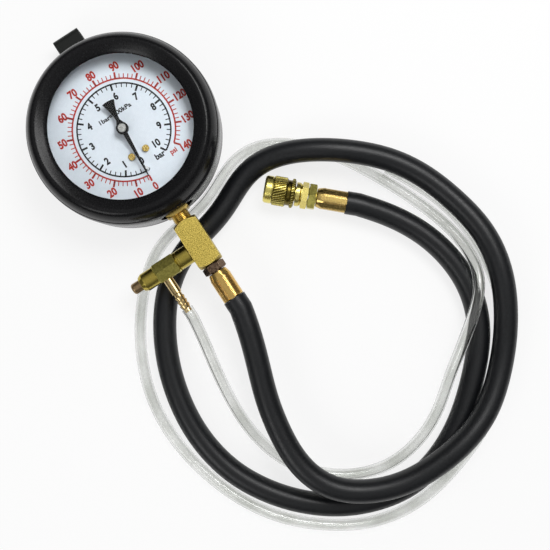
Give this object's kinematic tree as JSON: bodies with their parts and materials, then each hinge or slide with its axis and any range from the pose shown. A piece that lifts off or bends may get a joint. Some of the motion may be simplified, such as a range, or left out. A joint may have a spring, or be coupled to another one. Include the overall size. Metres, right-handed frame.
{
  "type": "fuel pressure tester",
  "caption": "Dial pressure gauge in a round rubber boot, with a brass manifold, push-button bleed valve, coiled hose with knurled coupler, clear drain tube and hanging hook.",
  "frame": {"origin": "middle of the flat back of the rubber boot, on the gauge's axis", "axes": "+Z out of the dial, +Y towards the hanging hook, the stem and manifold along -Y, the bleed valve along -X"},
  "size_m": [0.1998, 0.305, 0.039],
  "materials": {
    "black_rubber": "satin black rubber",
    "plated_steel": "zinc plated",
    "black_painted_steel": "black paint, semi-gloss",
    "clear_lens": "clear",
    "dial_white": "white enamel with a blue cast",
    "brushed_brass": "brushed",
    "olive_brass": "machined, greenish",
    "bright_brass": "polished",
    "dark_brass": "darkened",
    "copper_brown": "copper brown",
    "clear_pvc": "clear, soft",
    "pointer_black": "satin black",
    "grey_cap": "satin grey"
  },
  "bodies": {
    "gauge_and_hoses": {"rubber_boot": "black_rubber", "gauge_case": "plated_steel", "case_screw_1": "plated_steel", "case_screw_2": "plated_steel", "bezel_ring": "black_painted_steel", "lens": "clear_lens", "dial_plate": "dial_white", "dial_screw_1": "bright_brass", "dial_screw_2": "bright_brass", "dial_post_1": "brushed_brass", "dial_post_2": "brushed_brass", "stop_pin": "plated_steel", "bourdon_tube": "copper_brown", "hairspring": "plated_steel", "movement_back_plate": "brushed_brass", "movement_front_plate": "brushed_brass", "movement_pillar_1": "brushed_brass", "movement_pillar_2": "brushed_brass", "movement_pillar_3": "brushed_brass", "movement_screw_1": "plated_steel", "movement_screw_2": "plated_steel", "gauge_socket": "brushed_brass", "manifold_block": "brushed_brass", "valve_nipple": "brushed_brass", "valve_body": "olive_brass", "button_bush": "bright_brass", "valve_spring": "plated_steel", "drain_barb": "brushed_brass", "drain_tube": "clear_pvc", "hose_insert_a": "dark_brass", "ferrule_a": "bright_brass", "fuel_hose": "black_rubber", "ferrule_b": "bright_brass", "hose_insert_b": "dark_brass", "coupler_body": "brushed_brass", "coupler_seal": "black_rubber", "core_depressor": "brushed_brass", "hanging_hook": "black_painted_steel"},
    "pointer_arbor": {"pointer": "pointer_black", "pointer_hub": "grey_cap", "pinion_arbor": "brushed_brass"},
    "sector": {"sector_gear": "brushed_brass"},
    "link": {"link_bar": "bright_brass"},
    "tube_end": {"tube_tip": "brushed_brass"},
    "button": {"bleed_button": "copper_brown", "valve_seal": "black_rubber"},
    "nut": {"coupler_nut": "bright_brass"}
  },
  "joints": [
    {"name": "sector_swing", "type": "hinge", "parent": "gauge_and_hoses", "child": "sector", "pos_m": [0.009, -0.01559, 0.0144], "axis": [0, 0, 1], "range_deg": [0, 34.83]},
    {"name": "pointer_turn", "type": "hinge", "parent": "gauge_and_hoses", "child": "pointer_arbor", "pos_m": [0, 0, 0.0144], "axis": [0, 0, 1], "range_deg": [-313.5, 0], "deforming": ["hairspring"]},
    {"name": "link_turn", "type": "hinge", "parent": "sector", "child": "link", "pos_m": [0.01053, -0.02242, 0.0159], "axis": [0, 0, 1], "range_deg": [-34.83, 0]},
    {"name": "tip_slide", "type": "slide", "parent": "gauge_and_hoses", "child": "tube_end", "axis": [0.866, 0.5, 0], "range_m": [0, 0.0042], "deforming": ["bourdon_tube"]},
    {"name": "button_press", "type": "slide", "parent": "gauge_and_hoses", "child": "button", "axis": [1, 0, 0], "range_m": [0, 0.0013], "stiffness_N_per_m": 300, "deforming": ["valve_spring"]},
    {"name": "coupler_nut_spin", "type": "hinge", "parent": "gauge_and_hoses", "child": "nut", "pos_m": [0.0432, -0.0604, 0.0079], "axis": [0.7349, -0.6782, 0], "continuous": true}
  ],
  "couplings": [
    {"joint": "pointer_turn", "follows": "sector_swing", "ratio": -9},
    {"joint": "link_turn", "follows": "sector_swing", "ratio": -1},
    {"joint": "tip_slide", "follows": "sector_swing", "m_per_rad": 0.0068934}
  ]
}
